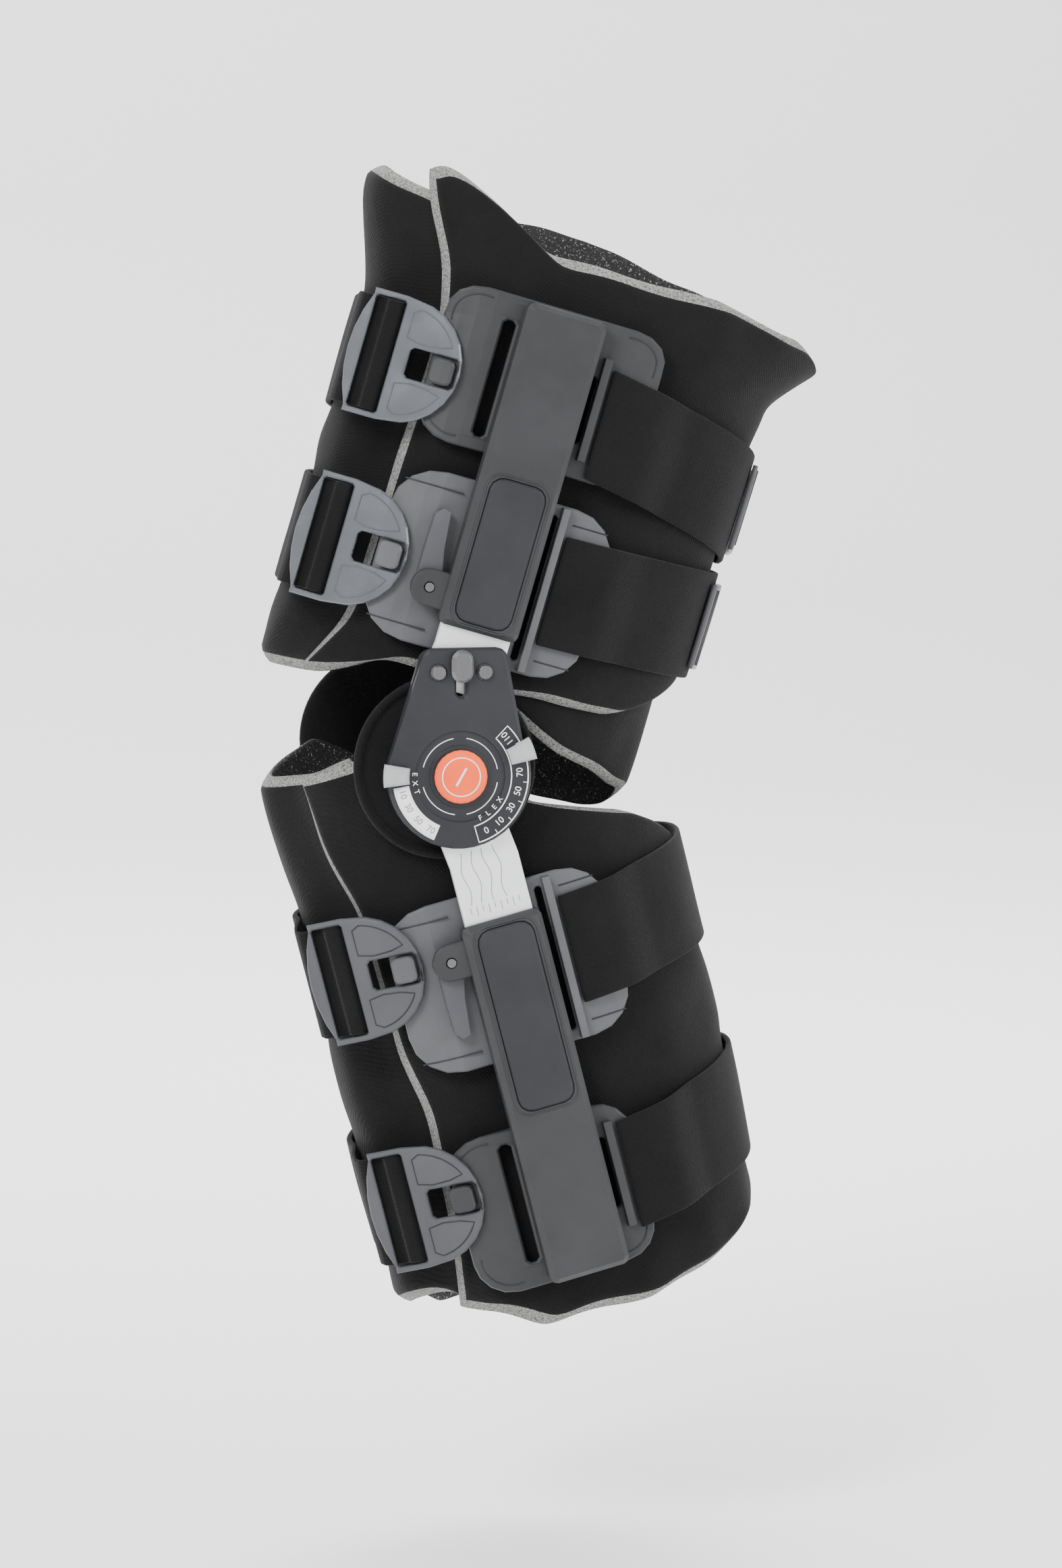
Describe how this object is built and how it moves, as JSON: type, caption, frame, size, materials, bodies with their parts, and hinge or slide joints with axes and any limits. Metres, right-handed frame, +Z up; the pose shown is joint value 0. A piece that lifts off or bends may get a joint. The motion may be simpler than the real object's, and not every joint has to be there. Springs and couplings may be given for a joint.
{
  "type": "knee brace",
  "caption": "Hinged post-operative knee brace with adjustable range stops, telescoping side uprights, foam wraps and quick-release strap buckles.",
  "frame": {"origin": "middle of the knee, on the hinge axis, halfway between the outer and inner hinges", "axes": "+Z up along the leg, -X the front of the leg, -Y its outer side, where the dial with the buckles is"},
  "size_m": [0.243, 0.1678, 0.4904],
  "materials": {
    "dark_plastic": "satin moulded",
    "housing_plastic": "satin moulded",
    "plate_plastic": "sheen moulded",
    "clear_plastic": "translucent smoke",
    "grey_plastic": "satin moulded",
    "stop_plastic": "translucent",
    "cap_plastic": "printed orange",
    "bar_metal": "satin anodised",
    "rivet_metal": "dark plated",
    "foam_laminate": "loop fabric over foam, foam-grey edge",
    "strap_fabric": "brushed loop webbing",
    "pad_fabric": "soft knitted cover"
  },
  "bodies": {
    "thigh": {"thigh_wrap": "foam_laminate", "thigh_strap_upper": "strap_fabric", "thigh_strap_lower": "strap_fabric", "thigh_strap_upper_end": "plate_plastic", "thigh_strap_lower_end": "plate_plastic", "lateral_thigh_housing": "housing_plastic", "lateral_thigh_strap_plate": "plate_plastic", "lateral_thigh_lever_pin": "rivet_metal", "medial_thigh_housing": "housing_plastic", "medial_thigh_strap_plate": "plate_plastic", "medial_thigh_lever_pin": "rivet_metal"},
    "thigh_bars": {"thigh_knee_flap": "foam_laminate", "lateral_upper_bar": "bar_metal", "lateral_hinge_cover": "dark_plastic", "lateral_hinge_back_plate": "dark_plastic", "lateral_pivot_rivet": "rivet_metal", "lateral_centre_cap": "cap_plastic", "lateral_condyle_pad": "pad_fabric", "lateral_arm_rivets": "rivet_metal", "medial_upper_bar": "bar_metal", "medial_hinge_cover": "dark_plastic", "medial_hinge_back_plate": "dark_plastic", "medial_pivot_rivet": "rivet_metal", "medial_centre_cap": "cap_plastic", "medial_condyle_pad": "pad_fabric", "medial_arm_rivets": "rivet_metal"},
    "calf_bars": {"lateral_lower_bar": "bar_metal", "medial_lower_bar": "bar_metal"},
    "calf": {"calf_wrap": "foam_laminate", "calf_strap_upper": "strap_fabric", "calf_strap_lower": "strap_fabric", "lateral_calf_housing": "housing_plastic", "lateral_calf_strap_plate": "plate_plastic", "lateral_calf_lever_pin": "rivet_metal", "medial_calf_housing": "housing_plastic", "medial_calf_strap_plate": "plate_plastic", "medial_calf_lever_pin": "rivet_metal"},
    "lateral_ext_stop": {"lateral_ext_stop": "stop_plastic"},
    "lateral_flex_stop": {"lateral_flex_stop": "stop_plastic"},
    "lateral_drop_lock": {"lateral_drop_lock": "rivet_metal"},
    "lateral_thigh_release_panel": {"lateral_thigh_release_panel": "dark_plastic"},
    "lateral_thigh_lever": {"lateral_thigh_lever": "grey_plastic"},
    "lateral_calf_release_panel": {"lateral_calf_release_panel": "dark_plastic"},
    "lateral_calf_lever": {"lateral_calf_lever": "grey_plastic"},
    "medial_ext_stop": {"medial_ext_stop": "stop_plastic"},
    "medial_flex_stop": {"medial_flex_stop": "stop_plastic"},
    "medial_drop_lock": {"medial_drop_lock": "rivet_metal"},
    "medial_thigh_release_panel": {"medial_thigh_release_panel": "dark_plastic"},
    "medial_thigh_lever": {"medial_thigh_lever": "grey_plastic"},
    "medial_calf_release_panel": {"medial_calf_release_panel": "dark_plastic"},
    "medial_calf_lever": {"medial_calf_lever": "grey_plastic"},
    "calf_buckle_lower": {"calf_buckle_lower": "grey_plastic"},
    "calf_buckle_upper": {"calf_buckle_upper": "grey_plastic"},
    "thigh_buckle_lower": {"thigh_buckle_lower": "clear_plastic"},
    "thigh_buckle_upper": {"thigh_buckle_upper": "clear_plastic"}
  },
  "joints": [
    {"name": "thigh_telescope", "type": "slide", "parent": "thigh", "child": "thigh_bars", "axis": [-0.284, 0, -0.9588], "range_m": [0, 0.05]},
    {"name": "knee_flexion", "type": "hinge", "parent": "thigh_bars", "child": "calf_bars", "pos_m": [0, 0, 0], "axis": [0, -1, 0], "range_deg": [-31, 29], "deforming": ["thigh_knee_flap"]},
    {"name": "calf_telescope", "type": "slide", "parent": "calf_bars", "child": "calf", "axis": [0.2504, 0, -0.9681], "range_m": [0, 0.03]},
    {"name": "lateral_ext_stop_turn", "type": "hinge", "parent": "thigh_bars", "child": "lateral_ext_stop", "pos_m": [0, -0.0803, 0], "axis": [0, -1, 0], "range_deg": [0, 65]},
    {"name": "lateral_flex_stop_turn", "type": "hinge", "parent": "thigh_bars", "child": "lateral_flex_stop", "pos_m": [0, -0.0803, 0], "axis": [0, -1, 0], "range_deg": [-90, 20]},
    {"name": "lateral_drop_lock_slide", "type": "slide", "parent": "thigh_bars", "child": "lateral_drop_lock", "axis": [0, 0, -1], "range_m": [0, 0.005]},
    {"name": "lateral_thigh_release_press", "type": "slide", "parent": "thigh", "child": "lateral_thigh_release_panel", "axis": [0, 1, 0], "range_m": [0, 0.001], "stiffness_N_per_m": 900},
    {"name": "lateral_thigh_lever_turn", "type": "hinge", "parent": "thigh", "child": "lateral_thigh_lever", "pos_m": [-0.01232, -0.069, 0.08036], "axis": [0, -1, 0], "range_deg": [0, 7], "stiffness_Nm_per_rad": 0.05},
    {"name": "lateral_calf_release_press", "type": "slide", "parent": "calf", "child": "lateral_calf_release_panel", "axis": [0, 1, 0], "range_m": [0, 0.001], "stiffness_N_per_m": 900},
    {"name": "lateral_calf_lever_turn", "type": "hinge", "parent": "calf", "child": "lateral_calf_lever", "pos_m": [-0.003, -0.069, -0.08024], "axis": [0, 1, 0], "range_deg": [0, 7], "stiffness_Nm_per_rad": 0.05},
    {"name": "medial_ext_stop_turn", "type": "hinge", "parent": "thigh_bars", "child": "medial_ext_stop", "pos_m": [0, 0.0803, 0], "axis": [0, -1, 0], "range_deg": [0, 65]},
    {"name": "medial_flex_stop_turn", "type": "hinge", "parent": "thigh_bars", "child": "medial_flex_stop", "pos_m": [0, 0.0803, 0], "axis": [0, -1, 0], "range_deg": [-90, 20]},
    {"name": "medial_drop_lock_slide", "type": "slide", "parent": "thigh_bars", "child": "medial_drop_lock", "axis": [0, 0, -1], "range_m": [0, 0.005]},
    {"name": "medial_thigh_release_press", "type": "slide", "parent": "thigh", "child": "medial_thigh_release_panel", "axis": [0, -1, 0], "range_m": [0, 0.001], "stiffness_N_per_m": 900},
    {"name": "medial_thigh_lever_turn", "type": "hinge", "parent": "thigh", "child": "medial_thigh_lever", "pos_m": [-0.01232, 0.069, 0.08036], "axis": [0, -1, 0], "range_deg": [0, 7], "stiffness_Nm_per_rad": 0.05},
    {"name": "medial_calf_release_press", "type": "slide", "parent": "calf", "child": "medial_calf_release_panel", "axis": [0, -1, 0], "range_m": [0, 0.001], "stiffness_N_per_m": 900},
    {"name": "medial_calf_lever_turn", "type": "hinge", "parent": "calf", "child": "medial_calf_lever", "pos_m": [-0.003, 0.069, -0.08024], "axis": [0, 1, 0], "range_deg": [0, 7], "stiffness_Nm_per_rad": 0.05},
    {"name": "calf_buckle_lower_release", "type": "slide", "parent": "calf", "child": "calf_buckle_lower", "axis": [0.8691, -0.4407, 0.2248], "range_m": [0, 0.0035]},
    {"name": "calf_buckle_upper_release", "type": "slide", "parent": "calf", "child": "calf_buckle_upper", "axis": [0.8691, -0.4407, 0.2248], "range_m": [0, 0.0035]},
    {"name": "thigh_buckle_lower_release", "type": "slide", "parent": "thigh", "child": "thigh_buckle_lower", "axis": [0.8607, -0.4407, -0.2549], "range_m": [0, 0.0035]},
    {"name": "thigh_buckle_upper_release", "type": "slide", "parent": "thigh", "child": "thigh_buckle_upper", "axis": [0.8607, -0.4407, -0.2549], "range_m": [0, 0.0035]}
  ]
}
